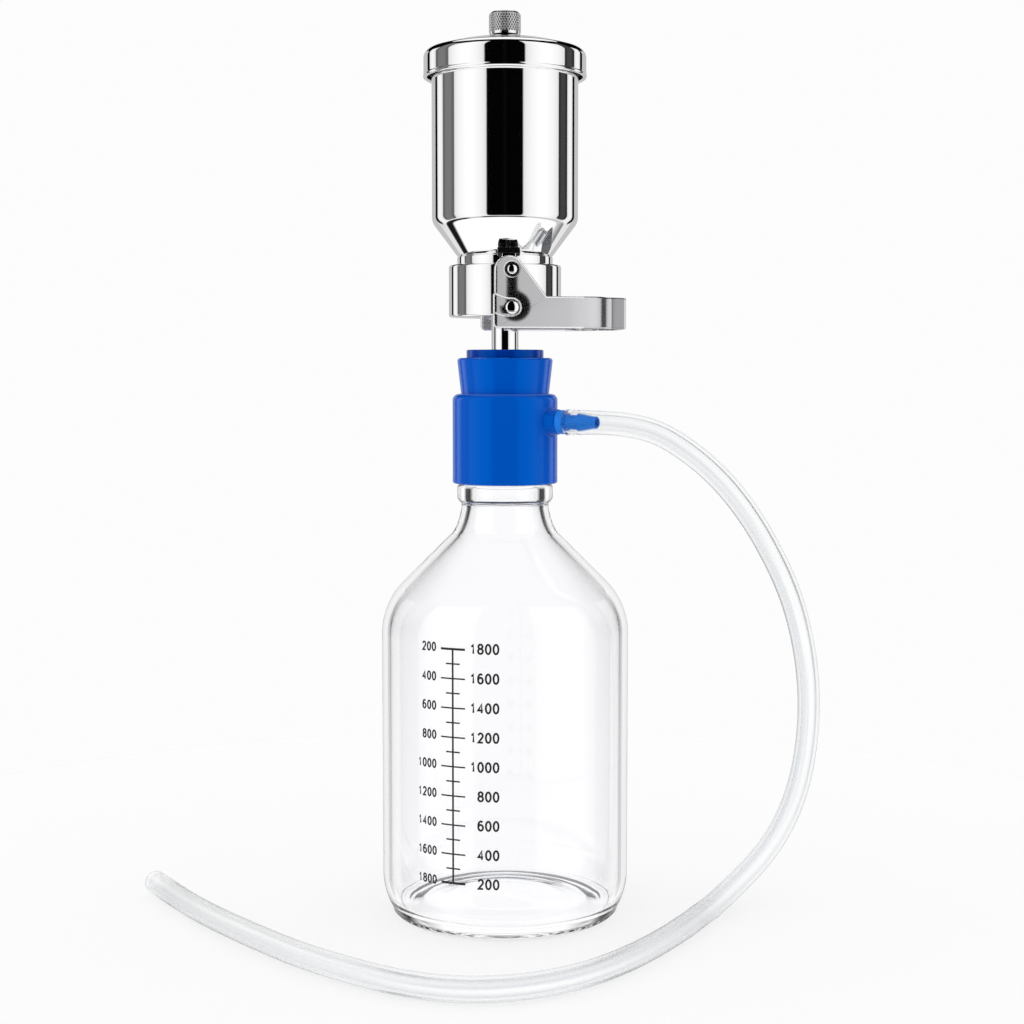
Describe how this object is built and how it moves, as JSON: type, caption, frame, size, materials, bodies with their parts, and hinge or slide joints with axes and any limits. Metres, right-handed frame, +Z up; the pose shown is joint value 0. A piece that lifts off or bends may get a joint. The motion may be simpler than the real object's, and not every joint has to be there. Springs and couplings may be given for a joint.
{
  "type": "vacuum filtration unit",
  "caption": "Clamped steel filter funnel on a blue stopper and side-arm sleeve, on a graduated glass bottle with a clear vacuum hose.",
  "frame": {"origin": "middle of the bottle's foot, on the surface that it stands on", "axes": "+Z up along the bottle and the funnel; +X the way the clamp lever's handle points; the scale and one cheek of the lever face -Y"},
  "size_m": [0.3865, 0.2244, 0.4928],
  "materials": {
    "bottle_glass": "clear, fire-polished glass",
    "enamel_black": "fired black enamel print",
    "silicone_blue": "moulded, satin",
    "plastic_blue": "moulded polypropylene, semi-gloss",
    "plastic_deep_blue": "moulded polypropylene, satin",
    "steel_polished": "mirror-polished stainless steel",
    "steel_satin": "satin stainless steel",
    "steel_knurled": "diamond-knurled and polished stainless steel",
    "steel_dark": "dark turned steel",
    "silicone_seal": "moulded, matt",
    "membrane_white": "matt cellulose membrane",
    "plastic_black": "moulded acetal",
    "rubber_black": "moulded, matt",
    "hose_clear": "clear extruded PVC"
  },
  "bodies": {
    "unit": {"bottle": "bottle_glass", "graduation": "enamel_black", "adapter_sleeve": "silicone_blue", "hose_nipple": "plastic_blue", "stopper": "silicone_blue", "stopper_disc": "plastic_deep_blue", "drain_stem": "steel_polished", "filter_base": "steel_polished", "lock_stud_front": "steel_polished", "lock_stud_rear": "steel_polished", "base_gasket": "silicone_seal", "support_screen": "steel_satin", "membrane_filter": "membrane_white", "funnel_gasket": "silicone_seal", "funnel": "steel_polished", "hook_front": "steel_polished", "hook_rear": "steel_polished", "hook_screw_front": "steel_dark", "hook_screw_rear": "steel_dark", "pivot_pin_front": "steel_polished", "pivot_pin_rear": "steel_polished", "lid_gasket": "silicone_seal", "lid": "steel_polished", "vent_stub": "steel_dark", "vacuum_hose": "hose_clear"},
    "lever": {"clamp_lever": "steel_polished", "pivot_bush_front": "plastic_black", "pivot_bush_rear": "plastic_black"},
    "seal": {"vent_seal": "rubber_black"},
    "knob": {"vent_knob": "steel_knurled"}
  },
  "joints": [
    {"name": "lever_swing", "type": "hinge", "parent": "unit", "child": "lever", "pos_m": [0, 0, 0.3532], "axis": [0, -1, 0], "range_deg": [0, 60]},
    {"name": "knob_rise", "type": "slide", "parent": "unit", "child": "seal", "axis": [0, 0, 1], "range_m": [0, 0.0025]},
    {"name": "knob_turn", "type": "hinge", "parent": "seal", "child": "knob", "pos_m": [0, 0, 0.4804], "axis": [0, 0, 1], "range_deg": [0, 721]}
  ],
  "couplings": [
    {"joint": "knob_turn", "follows": "knob_rise", "rad_per_m": 5026.5}
  ]
}
